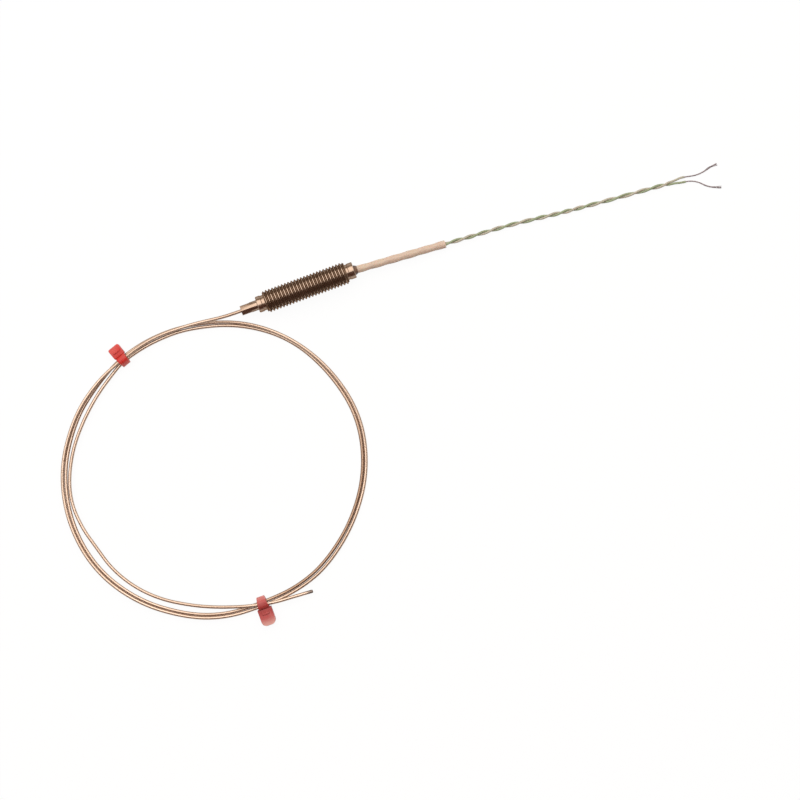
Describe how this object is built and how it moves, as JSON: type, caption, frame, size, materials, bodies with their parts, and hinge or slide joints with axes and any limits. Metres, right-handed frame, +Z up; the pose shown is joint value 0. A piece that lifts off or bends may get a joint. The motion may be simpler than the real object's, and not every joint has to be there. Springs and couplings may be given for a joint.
{
  "type": "mineral insulated thermocouple",
  "caption": "Mineral insulated thermocouple: coiled metal-sheathed cable, threaded pot seal, sleeved twisted tails with bared ends, and nylon ties that hold the coil.",
  "frame": {"origin": "on the surface it lies on, under the middle of the pot with its resin bead", "axes": "+X along the pot's axis from the cable towards the tails, +Z up"},
  "size_m": [0.3247, 0.1398, 0.01],
  "materials": {
    "pot_steel": "turned",
    "sheath_steel": "bright drawn",
    "magnesia": "pressed powder",
    "alloy_wire": "drawn",
    "splice_metal": "plain",
    "splice_sleeve": "smooth",
    "resin": "cast",
    "tail_sleeve": "shrunk on",
    "green_insulation": "smooth",
    "white_insulation": "smooth",
    "red_nylon": "moulded"
  },
  "bodies": {
    "root": {"threaded_pot": "pot_steel", "potting_resin": "resin", "cold_end_sheath": "sheath_steel", "cold_end_insulation": "magnesia", "positive_thermoelement": "alloy_wire", "negative_thermoelement": "alloy_wire", "positive_splice_barrel": "splice_metal", "negative_splice_barrel": "splice_metal", "positive_splice_sleeve": "splice_sleeve", "negative_splice_sleeve": "splice_sleeve", "positive_conductor_root": "alloy_wire", "negative_conductor_root": "alloy_wire", "positive_lead_root": "green_insulation", "negative_lead_root": "white_insulation", "tail_sleeve": "tail_sleeve", "tail_pair": "white_insulation", "positive_lead_end": "green_insulation", "negative_lead_end": "white_insulation", "positive_bare_end": "alloy_wire", "negative_bare_end": "alloy_wire", "cable_lead_in": "sheath_steel", "cable_coil": "sheath_steel", "tip_sheath": "sheath_steel", "tip_insulation": "magnesia", "tip_positive_wire": "alloy_wire", "tip_negative_wire": "alloy_wire", "hot_junction": "alloy_wire", "upper_tie": "red_nylon", "lower_tie": "red_nylon"}
  },
  "joints": []
}
